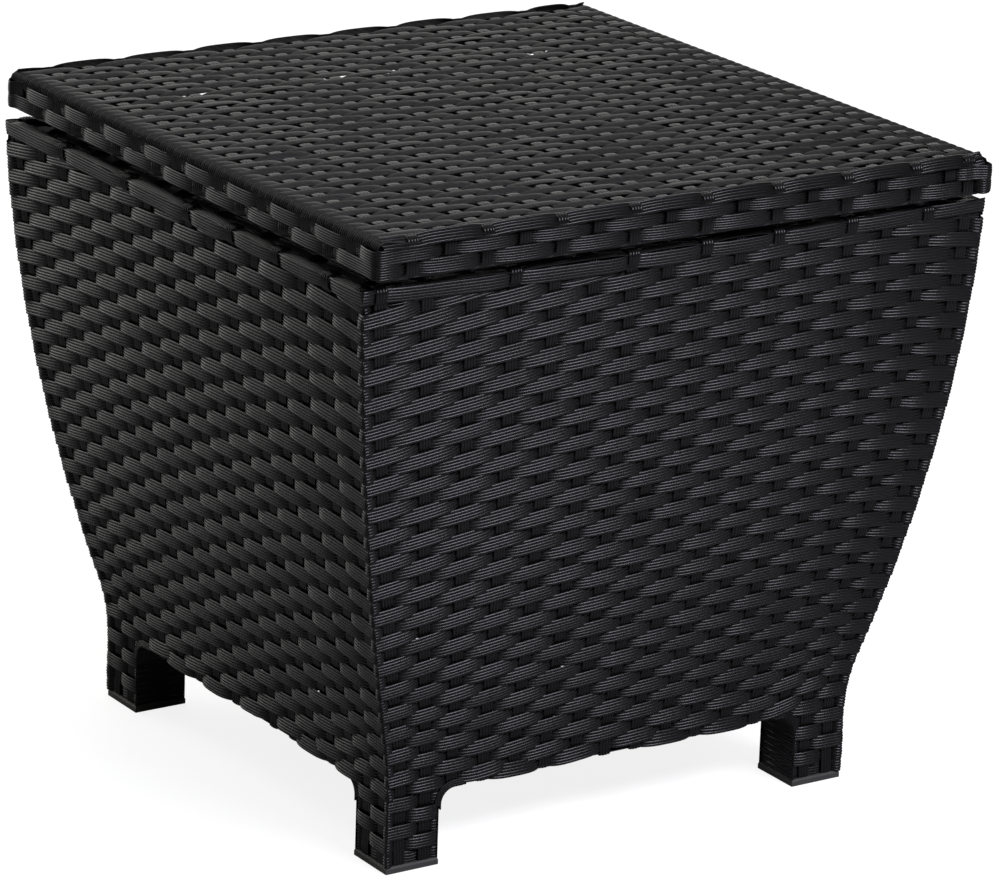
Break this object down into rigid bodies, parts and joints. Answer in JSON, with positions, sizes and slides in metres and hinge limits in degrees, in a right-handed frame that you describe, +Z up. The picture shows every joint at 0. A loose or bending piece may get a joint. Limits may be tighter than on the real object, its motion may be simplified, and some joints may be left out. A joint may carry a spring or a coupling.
{
  "type": "wicker deck box",
  "caption": "Square woven resin storage box with flared walls, short legs and a hinged slab lid that serves as a side table.",
  "frame": {"origin": "middle of the square plan of the body, on the ground under the feet", "axes": "+X to the right along the front, +Y to the back where the hinges are, +Z up"},
  "size_m": [0.508, 0.5107, 0.471],
  "materials": {
    "wicker": "ribbed resin strand, black, low sheen",
    "frame_tube": "black powder coat, fine texture",
    "foot_plastic": "moulded, charcoal",
    "bumper_rubber": "matte",
    "hinge_steel": "black coated steel, satin"
  },
  "bodies": {
    "box": {"corner_post_front_left": "frame_tube", "corner_post_front_right": "frame_tube", "corner_post_back_left": "frame_tube", "corner_post_back_right": "frame_tube", "top_rail_front": "frame_tube", "top_rail_back": "frame_tube", "top_rail_left": "frame_tube", "top_rail_right": "frame_tube", "bottom_rail_front": "frame_tube", "bottom_rail_back": "frame_tube", "bottom_rail_left": "frame_tube", "bottom_rail_right": "frame_tube", "floor_bars": "frame_tube", "floor_weave": "wicker", "wall_weave_front": "wicker", "wall_weave_back": "wicker", "wall_weave_left": "wicker", "wall_weave_right": "wicker", "leg_wrap_front_left": "wicker", "leg_wrap_front_right": "wicker", "leg_wrap_back_left": "wicker", "leg_wrap_back_right": "wicker", "rim_wrap_front": "wicker", "rim_wrap_back": "wicker", "rim_wrap_left": "wicker", "rim_wrap_right": "wicker", "foot_cap_front_left": "foot_plastic", "foot_cap_front_right": "foot_plastic", "foot_cap_back_left": "foot_plastic", "foot_cap_back_right": "foot_plastic", "hinge_base_leaf_left": "hinge_steel", "hinge_base_leaf_right": "hinge_steel", "hinge_pin_left": "hinge_steel", "hinge_pin_right": "hinge_steel", "hinge_base_screws": "hinge_steel", "lid_bumpers": "bumper_rubber"},
    "lid": {"lid_rail_front": "frame_tube", "lid_rail_back": "frame_tube", "lid_rail_left": "frame_tube", "lid_rail_right": "frame_tube", "lid_bar_left": "frame_tube", "lid_bar_right": "frame_tube", "lid_top_weave": "wicker", "lid_side_weave_front": "wicker", "lid_side_weave_back": "wicker", "lid_side_weave_left": "wicker", "lid_side_weave_right": "wicker", "hinge_lid_leaf_left": "hinge_steel", "hinge_lid_leaf_right": "hinge_steel", "hinge_lid_screws": "hinge_steel"}
  },
  "joints": [
    {"name": "lid_hinge", "type": "hinge", "parent": "box", "child": "lid", "pos_m": [0, 0.2537, 0.44], "axis": [-1, 0, 0], "range_deg": [0, 95]}
  ]
}
